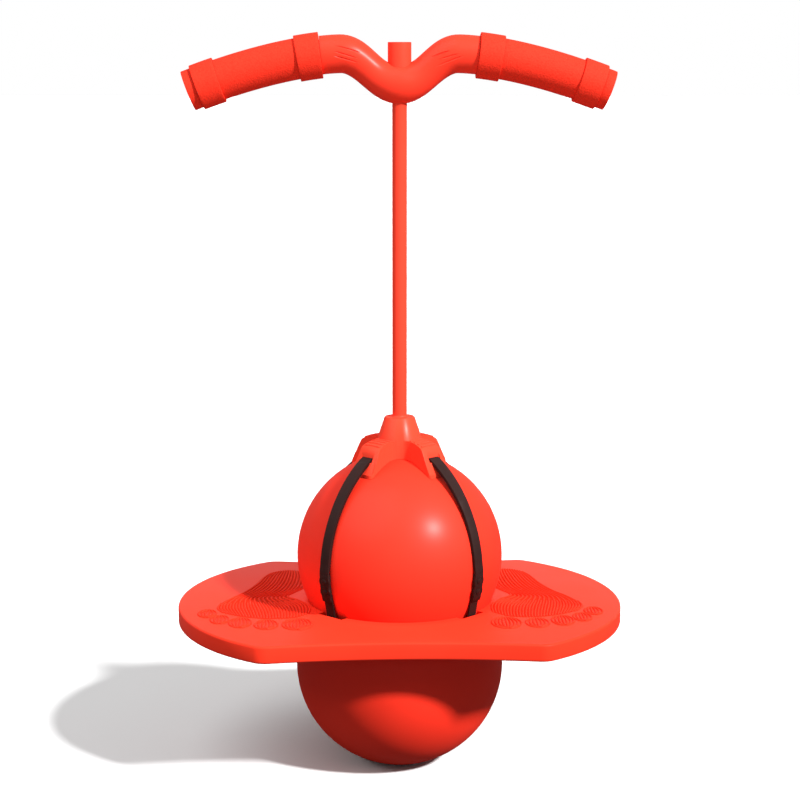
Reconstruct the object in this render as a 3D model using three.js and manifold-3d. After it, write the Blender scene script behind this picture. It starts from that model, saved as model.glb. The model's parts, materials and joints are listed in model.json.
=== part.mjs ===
// A stand-on bouncing ball. An inflated ball is squeezed through a foot deck, a four-legged crown is
// strapped onto its top, and an elastic stem rises from the crown to a gull-wing handlebar.
// Millimetres, +Z up, the floor is z = 0 and the rider's toes point to -Y.
import * as THREE from 'three';
import { mergeVertices } from 'three/addons/utils/BufferGeometryUtils.js';
import Module from 'manifold-3d';

// Clearances
const fitGap = 0.3;
const windowPlay = 1.5;
const cutOverrun = 2;

// Ball: two lobes with a rounded waist, standing on a small flattened patch
const lowerLobeRadius = 91.4;
const upperLobeRadius = 90.1;
const lobeSpacing = 98.1;
const contactPatchRadius = 16;
const waistFillet = 10;
const ballWall = 3;

// Valve in the back of the upper lobe
const valveElevation = 15;
const valveFlangeWidth = 3.5;
const valveFlangeThickness = 1.6;
const valveBarrelRadius = 6.5;
const valveBarrelLength = 14;
const plugShankRadius = 3;
const plugShankLength = 11;
const plugHeadRadius = 5.2;
const plugHeadThickness = 1.6;

// Deck
const deckHalfWidth = 195;
const deckCornerX = 118;
const deckCornerY = 140.7;
const deckEdgeHollow = 9.5;
const deckCornerRound = 7;
const deckThickness = 15;
const deckBelowWaist = 1.9;
const deckEdgeRound = 2;
const deckSkin = 4;
const deckSkirt = 4;
const deckRib = 3;
const deckRibPitch = 60;
const rimRise = 2.5;
const rimLand = 3;
const rimSlope = 16;
const rimWall = 13;

// Straps and their tails: lengths run down the upper lobe
const strapAzimuths = { back_right: 45, back_left: 135, front_left: 225, front_right: 315 };
const strapWidth = 11.6;
const strapThickness = 3.2;
const strapHeadWidth = 15.4;
const strapHeadHeight = 6;
const strapHeadDepth = 4;
const strapBulgeRadius = 7;
const strapLiftLength = 9.5;
const strapEndLength = 8.5;
const tailWidth = 10;
const tailThickness = 2.4;
const tailTopAngle = 91;
const tailHookWidth = 24;
const tailHookReach = 12;
const tailHookThickness = 3;
const notchPlay = 2;
const studInset = 6.2;
const studSpacing = 9.6;
const studRadius = 2.1;
const studHeadRadius = 3.4;
const studHeadHeight = 1.2;

// Crown: heights are above the ball's top
const crownLegHalfWidth = 11.4;
const crownTipHalfWidth = 12.8;
const crownLegReach = 48.5;
const crownInnerFillet = 8.6;
const crownTipRound = 3;
const crownFootThickness = 2.6;
const crownKneeRadius = 38.3;
const crownKneeHeight = 8.5;
const crownBrowRadius = 34.5;
const crownBrowHeight = 11.4;
const crownShoulderRadius = 29;
const crownShoulderHeight = 13.4;
const crownWall = 3;
const crownInnerWall = 9.1;
const hubBaseRadius = 18.6;
const hubBaseHeight = 14.6;
const hubTopRadius = 12.6;
const hubTopHeight = 33;
const cavityReach = 30.5;
const cavityHeight = 9.3;
const strapSlotHeight = 1.2;
const windowTopHeight = 6;

// Elastic stem
const stemRadius = 6;
const stemFootRadius = 10;
const stemNeckLength = 20;
const stemReach = 269.2;
const stemHeadRadius = 10;
const stemHeadRise = 36.7;
const stemBendLimit = 25;
const stemBendSpare = 2.5;
const edgeRound = 0.8;

// Handlebar: a gull-wing curve in the plane y = 0
const barDip = 26.9;
const barShoulderX = 50;
const barDroop = 31;
const barDroopPower = 1.6;
const barEndX = 178.7;
const barRadius = 15.25;
const barCoreRadius = 12.5;
const barBoreRadius = 9;
const bareBarEndX = 66.4;
const stemSeatDepth = 1.5;

// Grips
const gripRadius = 17.3;
const collarRadius = 19.5;
const collarWidth = 20;
const endPlugFlange = 7.1;
const endPlugSpigot = 18;

// Facets: sides of round pieces, and steps along the bar
const ballSides = 32;
const turnedSides = 16;
const pegSides = 12;
const bentBarStep = 8;
const gentleBarStep = 14;

const degree = Math.PI / 180;
const wasm = await Module();
wasm.setup();

// Shared builders

// A closed solid from a geometry: shared vertices are merged and collapsed triangles left out.
function solidOf(geometry) {
  const bare = geometry.clone();
  bare.deleteAttribute('normal');
  bare.deleteAttribute('uv');
  const merged = mergeVertices(bare, 1e-4);
  const corners = merged.index.array;
  const triangles = [];
  for (let i = 0; i < corners.length; i += 3) {
    const [a, b, c] = corners.slice(i, i + 3);
    if (a !== b && b !== c && c !== a) triangles.push(a, b, c);
  }
  return new wasm.Manifold(new wasm.Mesh({
    numProp: 3,
    vertProperties: Float32Array.from(merged.attributes.position.array),
    triVerts: Uint32Array.from(triangles),
  }));
}

function geometryOf(solid) {
  const mesh = solid.getMesh();
  const geometry = new THREE.BufferGeometry();
  geometry.setAttribute('position', new THREE.BufferAttribute(mesh.vertProperties, 3));
  geometry.setIndex(new THREE.BufferAttribute(mesh.triVerts, 1));
  geometry.computeVertexNormals();
  return geometry;
}

// Points along an arc of a circle, between two angles in degrees.
function arcPoints(centreX, centreY, radius, fromAngle, toAngle, steps) {
  return Array.from({ length: steps + 1 }, (_, i) => {
    const angle = (fromAngle + ((toAngle - fromAngle) * i) / steps) * degree;
    return new THREE.Vector2(centreX + radius * Math.cos(angle), centreY + radius * Math.sin(angle));
  });
}

// A turned solid, from an outline of (radius, height) points that starts and ends on the axis.
function turned(outline, sides = turnedSides) {
  const points = outline.map((p) => new THREE.Vector2(Math.max(p.x, 0), p.y));
  return new THREE.LatheGeometry(points, sides).rotateX(Math.PI / 2);
}

function outlineOf(...pairs) {
  return pairs.map(([radius, height]) => new THREE.Vector2(radius, height));
}

function cylinder(radius, bottom, top, sides = turnedSides) {
  return turned(outlineOf([0, bottom], [radius, bottom], [radius, top], [0, top]), sides);
}

function block(fromX, toX, width, bottom, top) {
  const geometry = new THREE.BoxGeometry(toX - fromX, width, top - bottom);
  return geometry.translate((fromX + toX) / 2, 0, (bottom + top) / 2);
}

// A plan outline raised from one height to another, with rounded edges if asked.
function slab(points, bottom, top, round = 0) {
  const geometry = new THREE.ExtrudeGeometry(new THREE.Shape(points), {
    depth: top - bottom - 2 * round,
    bevelEnabled: round > 0,
    bevelThickness: round,
    bevelSize: round,
    bevelOffset: -round,
    bevelSegments: 1,
  });
  return geometry.translate(0, 0, bottom + round);
}

// A side outline of (radius, height) points, given a width across its plane.
function sideSlab(points, width) {
  const geometry = new THREE.ExtrudeGeometry(new THREE.Shape(points), { depth: width, bevelEnabled: false });
  return geometry.rotateX(Math.PI / 2).translate(0, width / 2, 0);
}

// The outline of a band of even thickness along a path of points.
function bandOutline(path, thickness) {
  const sides = path.map((point, i) => {
    const before = path[Math.max(i - 1, 0)];
    const after = path[Math.min(i + 1, path.length - 1)];
    const along = after.clone().sub(before).normalize();
    const across = new THREE.Vector2(-along.y, along.x).multiplyScalar(thickness / 2);
    return [point.clone().add(across), point.clone().sub(across)];
  });
  return [...sides.map((pair) => pair[0]), ...sides.map((pair) => pair[1]).reverse()];
}

// Ball

const lowerLobeZ = Math.sqrt(lowerLobeRadius ** 2 - contactPatchRadius ** 2);
const upperLobeZ = lowerLobeZ + lobeSpacing;
const ballTop = upperLobeZ + upperLobeRadius;
const lowerReach = lowerLobeRadius + waistFillet;
const upperReach = upperLobeRadius + waistFillet;
const waistAboveLower = (lobeSpacing ** 2 + lowerReach ** 2 - upperReach ** 2) / (2 * lobeSpacing);
const waistZ = lowerLobeZ + waistAboveLower;
const waistCentreRadius = Math.sqrt(lowerReach ** 2 - waistAboveLower ** 2);
const lowerTangent = Math.atan2(waistZ - lowerLobeZ, waistCentreRadius) / degree;
const upperTangent = Math.atan2(waistZ - upperLobeZ, waistCentreRadius) / degree;

// The ball's form, offset outwards: its skin at 0, its inner face at minus the wall, a seat at plus the gap.
function ballForm(offset) {
  const lower = lowerLobeRadius + offset;
  const upper = upperLobeRadius + offset;
  const patchAngle = -Math.asin((lowerLobeZ + offset) / lower) / degree;
  return solidOf(turned([
    new THREE.Vector2(0, -offset),
    ...arcPoints(0, lowerLobeZ, lower, patchAngle, lowerTangent, 9),
    ...arcPoints(waistCentreRadius, waistZ, waistFillet - offset, 180 + lowerTangent, 180 + upperTangent, 3),
    ...arcPoints(0, upperLobeZ, upper, upperTangent, 90, 10),
  ], ballSides));
}

// A point over the upper lobe, at a distance from its centre and an angle from its pole.
function lobePoint(distance, poleAngle) {
  const angle = poleAngle * degree;
  return new THREE.Vector2(distance * Math.sin(angle), upperLobeZ + distance * Math.cos(angle));
}

const ballSeat = ballForm(fitGap);

function makeBall() {
  const inside = upperLobeRadius - valveBarrelLength;
  const hole = cylinder(valveBarrelRadius + fitGap, inside, upperLobeRadius + cutOverrun);
  hole.rotateX((valveElevation - 90) * degree).translate(0, 0, upperLobeZ);
  return ballForm(0).subtract(ballForm(-ballWall)).subtract(solidOf(hole));
}

// Valve, in its own frame: z = 0 on the lobe's skin, +Z out of the ball

const valveFlangeRadius = valveBarrelRadius + valveFlangeWidth;
const flangeTop = fitGap + valveFlangeThickness;
const plugSeat = flangeTop + fitGap;
const plugTop = plugSeat + plugHeadThickness;
const plugEnd = plugSeat - plugShankLength;

function makeValve() {
  const body = turned(outlineOf(
    [0, -valveBarrelLength], [valveBarrelRadius, -valveBarrelLength], [valveBarrelRadius, fitGap],
    [valveFlangeRadius, fitGap], [valveFlangeRadius - edgeRound, flangeTop], [0, flangeTop],
  ));
  const bore = cylinder(plugShankRadius + fitGap, -valveBarrelLength - cutOverrun, flangeTop + cutOverrun);
  return solidOf(body).subtract(solidOf(bore));
}

function makeValvePlug() {
  return solidOf(turned(outlineOf(
    [0, plugEnd], [plugShankRadius, plugEnd], [plugShankRadius, plugSeat], [plugHeadRadius, plugSeat],
    [plugHeadRadius, plugTop - edgeRound], [plugHeadRadius - edgeRound, plugTop], [0, plugTop],
  )));
}

// Deck

const deckTop = waistZ - deckBelowWaist + deckThickness / 2;
const deckBottom = deckTop - deckThickness;
const rimTop = deckTop + rimRise;
const strapSeatRadius = upperLobeRadius + fitGap;
const tailRadius = strapSeatRadius + tailThickness / 2;
const hookTop = deckBottom - fitGap;
const hookBottom = hookTop - tailHookThickness;
const lobeRadiusAtHook = Math.sqrt(lowerLobeRadius ** 2 - (hookBottom - lowerLobeZ) ** 2);
const tailDropRadius = lobeRadiusAtHook + 2 * fitGap + tailThickness / 2;
const notchReach = tailDropRadius + tailThickness / 2 + fitGap;
const rimLandRadius = notchReach + rimLand;

// A quarter of the deck's outline, from the middle of the back edge to the tip of the right side.
function deckQuarter() {
  const sideCentreX = (deckHalfWidth ** 2 - deckCornerX ** 2 - deckCornerY ** 2)
    / (2 * (deckHalfWidth - deckCornerX));
  const sideRadius = deckHalfWidth - sideCentreX;
  const cornerAngle = Math.asin(deckCornerY / sideRadius) / degree;
  const edgeEndX = deckCornerX - deckCornerRound;
  const edge = Array.from({ length: 5 }, (_, i) => {
    const x = (edgeEndX * i) / 4;
    return new THREE.Vector2(x, deckCornerY - deckEdgeHollow * (1 - (x / deckCornerX) ** 2));
  });
  const sideAngle = cornerAngle - deckCornerRound / sideRadius / degree;
  const side = arcPoints(sideCentreX, 0, sideRadius, sideAngle, 0, 8);
  const corner = new THREE.Vector2(deckCornerX, deckCornerY);
  const round = new THREE.QuadraticBezierCurve(edge.at(-1), corner, side[0]);
  return [...edge, ...round.getPoints(4).slice(1, -1), ...side];
}

function deckOutline() {
  const quarter = deckQuarter();
  const rightHalf = [...quarter, ...quarter.slice(0, -1).reverse().map((p) => new THREE.Vector2(p.x, -p.y))];
  const leftHalf = rightHalf.slice(1, -1).reverse().map((p) => new THREE.Vector2(-p.x, p.y));
  return [...rightHalf, ...leftHalf].reverse();
}

// An outline drawn in by a distance, each point along the mean of its two sides' inward normals.
function drawnIn(outline, distance) {
  return outline.map((point, i) => {
    const before = outline[(i + outline.length - 1) % outline.length];
    const after = outline[(i + 1) % outline.length];
    const along = after.clone().sub(before).normalize();
    return new THREE.Vector2(point.x - along.y * distance, point.y + along.x * distance);
  });
}

// The hollows under the deck, between its skirt, its ring round the hole and its ribs.
function deckHollows() {
  const low = deckBottom - cutOverrun;
  const high = deckTop - deckSkin;
  let hollows = solidOf(slab(drawnIn(deckOutline(), deckSkirt), low, high));
  hollows = hollows.subtract(solidOf(cylinder(notchReach + rimWall, low - cutOverrun, deckTop, ballSides)));
  const reach = Math.max(deckHalfWidth, deckCornerY);
  const ribsEachSide = Math.floor(reach / deckRibPitch);
  for (let i = -ribsEachSide; i <= ribsEachSide; i += 1) {
    for (const turn of [0, 90]) {
      const rib = block(-reach, reach, deckRib, low - cutOverrun, deckTop);
      rib.translate(0, i * deckRibPitch, 0).rotateZ(turn * degree);
      hollows = hollows.subtract(solidOf(rib));
    }
  }
  return hollows;
}

function makeDeck() {
  const board = solidOf(slab(deckOutline(), deckBottom, deckTop, deckEdgeRound));
  const rimFoot = deckTop - deckSkin / 2;
  const rimReach = rimLandRadius + rimSlope;
  const rim = solidOf(turned(outlineOf(
    [0, rimFoot], [rimReach, rimFoot], [rimReach, deckTop], [rimLandRadius, rimTop], [0, rimTop],
  ), ballSides));
  let deck = board.add(rim).subtract(deckHollows()).subtract(ballSeat);
  const notchWidth = tailHookWidth + 2 * notchPlay;
  for (const azimuth of Object.values(strapAzimuths)) {
    const notch = block(0, notchReach, notchWidth, deckBottom - cutOverrun, rimTop + cutOverrun);
    deck = deck.subtract(solidOf(notch.rotateZ(azimuth * degree)));
  }
  return deck;
}

// Straps and tails, drawn at azimuth 0 with +X outwards

const slotMiddle = ballTop + strapSlotHeight;
const windowStart = cavityReach + crownInnerWall;
const strapRadius = strapSeatRadius + strapThickness / 2;
const buttonRadius = strapRadius + tailThickness + fitGap;
const lobeDegrees = 1 / (buttonRadius * degree);
const studAngles = [studInset, studInset + studSpacing].map((down) => tailTopAngle + down * lobeDegrees);
const strapEndAngle = studAngles.at(-1) + strapEndLength * lobeDegrees;

// Points that lie along the upper lobe at one distance from its centre.
function lobeRun(distance, fromAngle, toAngle, steps) {
  return Array.from({ length: steps + 1 }, (_, i) => {
    return lobePoint(distance, fromAngle + ((toAngle - fromAngle) * i) / steps);
  });
}

// A short peg that stands on the upper lobe, between two distances from its centre.
function peg(radius, poleAngle, inner, outer) {
  const geometry = cylinder(radius, inner, outer, pegSides);
  return solidOf(geometry.rotateY(poleAngle * degree).translate(0, 0, upperLobeZ));
}

// The strap bends in the crown's window, runs straight to the lobe, lies on it, and lifts over its tail.
function strapPath() {
  const headMiddle = new THREE.Vector2(cavityReach - fitGap - strapHeadDepth / 2, slotMiddle);
  const bendStart = new THREE.Vector2(windowStart - strapThickness, slotMiddle);
  const bend = new THREE.Vector2(windowStart, slotMiddle);
  const bendDistance = Math.hypot(bend.x, bend.y - upperLobeZ);
  const bendAngle = Math.atan2(bend.x, bend.y - upperLobeZ) / degree;
  const touchAngle = bendAngle + Math.acos(strapRadius / bendDistance) / degree;
  const bendEnd = bend.clone().lerp(lobePoint(strapRadius, touchAngle), 0.2);
  const liftEnd = tailTopAngle - fitGap * lobeDegrees;
  const liftStart = liftEnd - strapLiftLength * lobeDegrees;
  return [
    headMiddle,
    ...new THREE.QuadraticBezierCurve(bendStart, bend, bendEnd).getPoints(3),
    ...lobeRun(strapRadius, touchAngle, liftStart, 6),
    ...lobeRun(buttonRadius, liftEnd, strapEndAngle, 3),
  ];
}

function makeStrap() {
  const path = strapPath();
  let strap = solidOf(sideSlab(bandOutline(path, strapThickness), strapWidth));
  const head = new THREE.BoxGeometry(strapHeadDepth, strapHeadWidth, strapHeadHeight);
  strap = strap.add(solidOf(head.translate(path[0].x, 0, path[0].y)));
  const inner = buttonRadius - strapThickness / 2;
  const outer = buttonRadius + strapThickness / 2;
  for (const angle of studAngles) {
    strap = strap.add(peg(strapBulgeRadius, angle, inner, outer));
  }
  for (const angle of studAngles) {
    strap = strap.subtract(peg(studRadius + fitGap, angle, inner - cutOverrun, outer + cutOverrun));
  }
  return strap;
}

// The tail hooks under the deck, rises through its notch and lies on the lobe under the strap's end.
function makeTail() {
  const path = [
    ...lobeRun(tailRadius, tailTopAngle, strapEndAngle, 4),
    new THREE.Vector2(tailDropRadius, rimTop),
    new THREE.Vector2(tailDropRadius, hookBottom),
  ];
  let tail = solidOf(sideSlab(bandOutline(path, tailThickness), tailWidth));
  const hookStart = tailDropRadius - tailThickness / 2;
  const hook = block(hookStart, hookStart + tailHookReach, tailHookWidth, hookBottom, hookTop);
  tail = tail.add(solidOf(hook));
  const strapFace = buttonRadius + strapThickness / 2 + fitGap;
  for (const angle of studAngles) {
    tail = tail.add(peg(studRadius, angle, tailRadius, strapFace + studHeadHeight / 2));
    tail = tail.add(peg(studHeadRadius, angle, strapFace, strapFace + studHeadHeight));
  }
  return tail;
}

// Crown

const hubTop = ballTop + hubTopHeight;
const cavityTop = ballTop + cavityHeight;
const crownFootZ = lobePoint(upperLobeRadius, Math.asin(crownLegReach / upperLobeRadius) / degree).y
  + crownFootThickness;

// A cross with a leg for each strap: round inner corners, widening legs, and small slants at their tips.
function crossOutline(halfWidth, tipHalfWidth, reach, tipSlant) {
  const inner = halfWidth + crownInnerFillet;
  return Object.values(strapAzimuths).flatMap((azimuth) => {
    const leg = [
      new THREE.Vector2(reach - tipSlant, -tipHalfWidth),
      new THREE.Vector2(reach, tipSlant - tipHalfWidth),
      new THREE.Vector2(reach, tipHalfWidth - tipSlant),
      new THREE.Vector2(reach - tipSlant, tipHalfWidth),
      ...arcPoints(inner, inner, crownInnerFillet, 270, 180, 5),
    ];
    return leg.map((point) => point.rotateAround(new THREE.Vector2(), azimuth * degree));
  });
}

function makeCrown() {
  const low = upperLobeZ;
  const lip = crownLegReach + cutOverrun;
  const bell = turned(outlineOf(
    [0, low], [lip, low], [lip, crownFootZ], [crownLegReach, crownFootZ],
    [crownKneeRadius, ballTop + crownKneeHeight], [crownBrowRadius, ballTop + crownBrowHeight],
    [crownShoulderRadius, ballTop + crownShoulderHeight], [hubBaseRadius, ballTop + hubBaseHeight],
    [hubTopRadius, hubTop - edgeRound], [hubTopRadius - edgeRound, hubTop], [0, hubTop],
  ), ballSides);
  const plan = crossOutline(crownLegHalfWidth, crownTipHalfWidth, crownLegReach, crownTipRound);
  const cavityHalfWidth = crownLegHalfWidth - crownWall;
  const cavityPlan = crossOutline(cavityHalfWidth, cavityHalfWidth, cavityReach, edgeRound);
  let crown = solidOf(bell).intersect(solidOf(slab(plan, low, hubTop)));
  crown = crown.subtract(ballSeat).subtract(solidOf(slab(cavityPlan, low, cavityTop)));
  crown = crown.subtract(solidOf(cylinder(stemRadius + fitGap, low, hubTop + cutOverrun)));
  const passage = bandOutline(strapPath(), strapThickness + 2 * fitGap);
  const windowBottom = slotMiddle - strapThickness;
  const windowTop = ballTop + windowTopHeight;
  for (const azimuth of Object.values(strapAzimuths)) {
    const window = block(windowStart, lip, strapWidth + 2 * windowPlay, windowBottom, windowTop);
    const slot = sideSlab(passage, strapWidth + 2 * fitGap);
    crown = crown.subtract(solidOf(window.rotateZ(azimuth * degree)));
    crown = crown.subtract(solidOf(slot.rotateZ(azimuth * degree)));
  }
  return crown;
}

// Elastic stem: each bend is a round end that turns in the cup of the length below it

const cupRadius = stemRadius + fitGap;
const cupDepth = cupRadius * Math.sin((stemBendLimit + stemBendSpare) * degree);
const neckPivot = hubTop + cupDepth;
const shaftPivot = neckPivot + stemNeckLength;

function stemCup(pivot) {
  return solidOf(turned(arcPoints(0, pivot, cupRadius, -90, 90, 10)));
}

function stemLength(pivot, top) {
  return solidOf(turned([
    ...arcPoints(0, pivot, stemRadius, -90, 0, 5),
    ...outlineOf([stemRadius, top], [0, top]),
  ]));
}

function makeStemFoot() {
  const bottom = ballTop + fitGap;
  const ceiling = cavityTop - fitGap;
  const foot = solidOf(turned(outlineOf(
    [0, bottom], [stemFootRadius - edgeRound, bottom], [stemFootRadius, bottom + edgeRound],
    [stemFootRadius, ceiling], [stemRadius, ceiling], [stemRadius, hubTop], [0, hubTop],
  )));
  return foot.subtract(stemCup(neckPivot));
}

function makeStemNeck() {
  return stemLength(neckPivot, shaftPivot - cupDepth).subtract(stemCup(shaftPivot));
}

// Handlebar

const barUnderside = hubTop + stemReach;
const barMiddleZ = barUnderside + barRadius;
const stemSeat = barMiddleZ + barRadius - stemSeatDepth;
const stemHeadTop = barMiddleZ + stemHeadRise;
const endPlugStartX = barEndX - endPlugFlange;
const gripStartX = bareBarEndX + fitGap;
const gripEndX = endPlugStartX - fitGap;

// Height of the bar's centre line: a dip to the stem, a shoulder on each side, and a droop to the ends.
function barHeight(x) {
  const out = Math.abs(x);
  const shoulder = barMiddleZ + barDip;
  if (out < barShoulderX) return shoulder - (barDip * (1 + Math.cos((Math.PI * out) / barShoulderX))) / 2;
  return shoulder - barDroop * ((out - barShoulderX) / (barEndX - barShoulderX)) ** barDroopPower;
}

class BarCurve extends THREE.Curve {
  constructor(fromX, toX) {
    super();
    this.fromX = fromX;
    this.toX = toX;
  }

  getPoint(t, target = new THREE.Vector3()) {
    const x = this.fromX + (this.toX - this.fromX) * t;
    return target.set(x, 0, barHeight(x));
  }
}

function barTube(fromX, toX, radius, stepLength = gentleBarStep) {
  const section = new THREE.Shape(arcPoints(0, 0, radius, 0, 360 - 360 / turnedSides, turnedSides - 1));
  const steps = Math.ceil(Math.abs(toX - fromX) / stepLength);
  const extrudePath = new BarCurve(fromX, toX);
  return solidOf(new THREE.ExtrudeGeometry(section, { steps, extrudePath, bevelEnabled: false }));
}

function barSleeve(fromX, toX, outerRadius, innerRadius) {
  const over = Math.sign(toX - fromX) * cutOverrun;
  return barTube(fromX, toX, outerRadius).subtract(barTube(fromX - over, toX + over, innerRadius));
}

function makeHandlebar() {
  let bar = barTube(-bareBarEndX, bareBarEndX, barRadius, bentBarStep);
  for (const side of [-1, 1]) {
    bar = bar.add(barTube(side * barShoulderX, side * gripEndX, barCoreRadius));
  }
  const bore = barTube(-barEndX, barEndX, barBoreRadius);
  const stemHole = solidOf(cylinder(stemRadius + fitGap, barUnderside - cutOverrun, stemHeadTop));
  const seat = solidOf(cylinder(stemHeadRadius + fitGap, stemSeat, stemHeadTop));
  return bar.subtract(bore).subtract(stemHole).subtract(seat);
}

function makeStemHead() {
  const seat = stemSeat + fitGap;
  return solidOf(turned(outlineOf(
    [0, barUnderside], [stemRadius, barUnderside], [stemRadius, seat], [stemHeadRadius, seat],
    [stemHeadRadius, stemHeadTop - edgeRound], [stemHeadRadius - edgeRound, stemHeadTop], [0, stemHeadTop],
  )));
}

// The distance along X that a collar covers where the bar has the slope found at x.
function collarRun(x) {
  return collarWidth / Math.hypot(1, barHeight(x + 1) - barHeight(x));
}

function makeEndPlug(side) {
  const flange = barTube(side * endPlugStartX, side * barEndX, gripRadius);
  const spigotEnd = side * (endPlugStartX - endPlugSpigot);
  return flange.add(barTube(spigotEnd, side * (endPlugStartX + endPlugFlange / 2), barBoreRadius - fitGap));
}

// Assembly

const glossVinyl = { color: '#f2452f', roughness: 0.38 };
const orangePlastic = { color: '#f04630', roughness: 0.5 };
const orangeRubber = { color: '#ee4833', roughness: 0.55 };
const orangeFoam = { color: '#ea3f2d', roughness: 0.9 };
const blackRubber = { color: '#2c1b1a', roughness: 0.6 };

const jumper = new THREE.Group();

function place(parent, name, solid, finish) {
  const surface = new THREE.MeshStandardMaterial({ ...finish, metalness: 0 });
  const mesh = new THREE.Mesh(geometryOf(solid), surface);
  mesh.name = name;
  parent.add(mesh);
}

place(jumper, 'ball', makeBall(), glossVinyl);
place(jumper, 'deck', makeDeck(), orangePlastic);
place(jumper, 'crown', makeCrown(), orangePlastic);

const valveSpot = new THREE.Group();
valveSpot.rotation.x = (valveElevation - 90) * degree;
valveSpot.position.set(0, Math.cos(valveElevation * degree), Math.sin(valveElevation * degree))
  .multiplyScalar(upperLobeRadius).add(new THREE.Vector3(0, 0, upperLobeZ));
place(valveSpot, 'ball_valve', makeValve(), glossVinyl);
place(valveSpot, 'valve_plug', makeValvePlug(), orangeRubber);
jumper.add(valveSpot);

for (const [corner, azimuth] of Object.entries(strapAzimuths)) {
  const strapSpot = new THREE.Group();
  strapSpot.rotation.z = azimuth * degree;
  place(strapSpot, `${corner}_strap`, makeStrap(), blackRubber);
  place(strapSpot, `${corner}_strap_tail`, makeTail(), blackRubber);
  jumper.add(strapSpot);
}

place(jumper, 'stem_foot', makeStemFoot(), orangeRubber);
place(jumper, 'stem_neck', makeStemNeck(), orangeRubber);
place(jumper, 'stem_shaft', stemLength(shaftPivot, barUnderside - fitGap), orangeRubber);
place(jumper, 'stem_head', makeStemHead(), orangeRubber);
place(jumper, 'handlebar', makeHandlebar(), orangePlastic);

for (const [hand, side] of [['left', -1], ['right', 1]]) {
  const grip = barSleeve(side * gripStartX, side * gripEndX, gripRadius, barCoreRadius + fitGap);
  place(jumper, `${hand}_grip`, grip, orangeFoam);
  const collarSpans = {
    inner: [gripStartX, gripStartX + collarRun(gripStartX)],
    outer: [gripEndX - collarRun(gripEndX), gripEndX],
  };
  for (const [end, [fromX, toX]] of Object.entries(collarSpans)) {
    const collar = barSleeve(side * fromX, side * toX, collarRadius, gripRadius + fitGap);
    place(jumper, `${hand}_${end}_collar`, collar, orangeFoam);
  }
  place(jumper, `${hand}_end_plug`, makeEndPlug(side), orangeFoam);
}

export default jumper;
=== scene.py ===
# %% [markdown]
# # A stand-on bouncing ball
# An inflated ball is squeezed through a foot deck, straps tie a four-legged crown to its top, and an elastic
# stem carries a handlebar. The solid model gives every size and place. This lesson dresses it: each visible
# piece is modelled again with round surfaces and soft edges, and gets the finish of its real material.

# %% Load the solid model
import json
import math

import bpy
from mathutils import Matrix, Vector


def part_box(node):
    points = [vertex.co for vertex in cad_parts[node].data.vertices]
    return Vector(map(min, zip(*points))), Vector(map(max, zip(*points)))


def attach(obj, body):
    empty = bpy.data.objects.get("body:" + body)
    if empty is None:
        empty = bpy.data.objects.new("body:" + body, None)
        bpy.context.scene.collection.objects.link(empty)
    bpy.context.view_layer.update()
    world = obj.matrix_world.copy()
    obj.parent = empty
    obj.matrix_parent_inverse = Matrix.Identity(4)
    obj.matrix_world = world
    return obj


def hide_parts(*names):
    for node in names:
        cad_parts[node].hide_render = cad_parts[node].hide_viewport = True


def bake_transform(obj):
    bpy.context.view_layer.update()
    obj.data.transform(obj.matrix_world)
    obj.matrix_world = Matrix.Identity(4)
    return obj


MM = 0.001
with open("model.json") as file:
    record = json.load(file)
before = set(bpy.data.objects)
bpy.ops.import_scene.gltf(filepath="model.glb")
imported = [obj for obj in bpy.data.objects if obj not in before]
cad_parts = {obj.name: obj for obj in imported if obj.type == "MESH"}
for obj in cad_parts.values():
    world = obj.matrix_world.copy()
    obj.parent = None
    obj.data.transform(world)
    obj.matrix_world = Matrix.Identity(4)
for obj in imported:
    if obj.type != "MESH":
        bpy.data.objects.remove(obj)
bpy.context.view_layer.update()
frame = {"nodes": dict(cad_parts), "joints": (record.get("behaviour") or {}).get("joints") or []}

# %% [markdown]
# ## Camera
# The object stands a little turned to the camera, which looks down on it by about ten degrees from the height
# of the handlebar. A long lens keeps the deck's ellipse flat.

# %% Place the camera
LENS = 88.77
SENSOR = 36
CAMERA_PLACE = (-46.0 * MM, -1691.8 * MM, 619.95 * MM)
CAMERA_DOWN = math.radians(9.867)
CAMERA_TURN = math.radians(-1.57)
QUARTER_TURN = math.radians(90)

bpy.ops.object.camera_add(location=CAMERA_PLACE, rotation=(QUARTER_TURN - CAMERA_DOWN, 0, CAMERA_TURN))
camera = bpy.context.object
camera.data.lens = LENS
camera.data.sensor_width = SENSOR
bpy.context.scene.camera = camera
print("camera", [round(v, 3) for v in camera.location])

# %% [markdown]
# ## Node helper
# Every finish below is a small graph of shader nodes. One function adds a node, sets its fields and links its
# inputs, so that a graph reads from its textures to its surface. Colours are picked as they look on a screen,
# so a second function turns a hex value into the linear numbers that light is reckoned in.

# %% Helpers for finishes
def linear(hex_colour):
    """Linear colour from an sRGB hex value such as f2452f."""
    parts = [int(hex_colour[i:i + 2], 16) / 255 for i in (0, 2, 4)]
    return [c / 12.92 if c <= 0.04045 else ((c + 0.055) / 1.055) ** 2.4 for c in parts] + [1.0]


def add_node(tree, kind, inputs=None, **settings):
    """A new shader node with its settings; an input is a value, or the output that feeds it."""
    made = tree.nodes.new("ShaderNode" + kind)
    for field, value in settings.items():
        setattr(made, field, value)
    for socket, value in (inputs or {}).items():
        if isinstance(value, bpy.types.NodeSocket):
            tree.links.new(value, made.inputs[socket])
        else:
            made.inputs[socket].default_value = value
    return made


def new_finish(name):
    """A material with an empty graph, its surface output and its Object coordinates."""
    finish = bpy.data.materials.new(name)
    finish.use_nodes = True
    tree = finish.node_tree
    tree.nodes.clear()
    output = add_node(tree, "OutputMaterial")
    place = add_node(tree, "TexCoord").outputs["Object"]
    return finish, tree, output, place


print("white is", linear("ffffff"))

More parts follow.
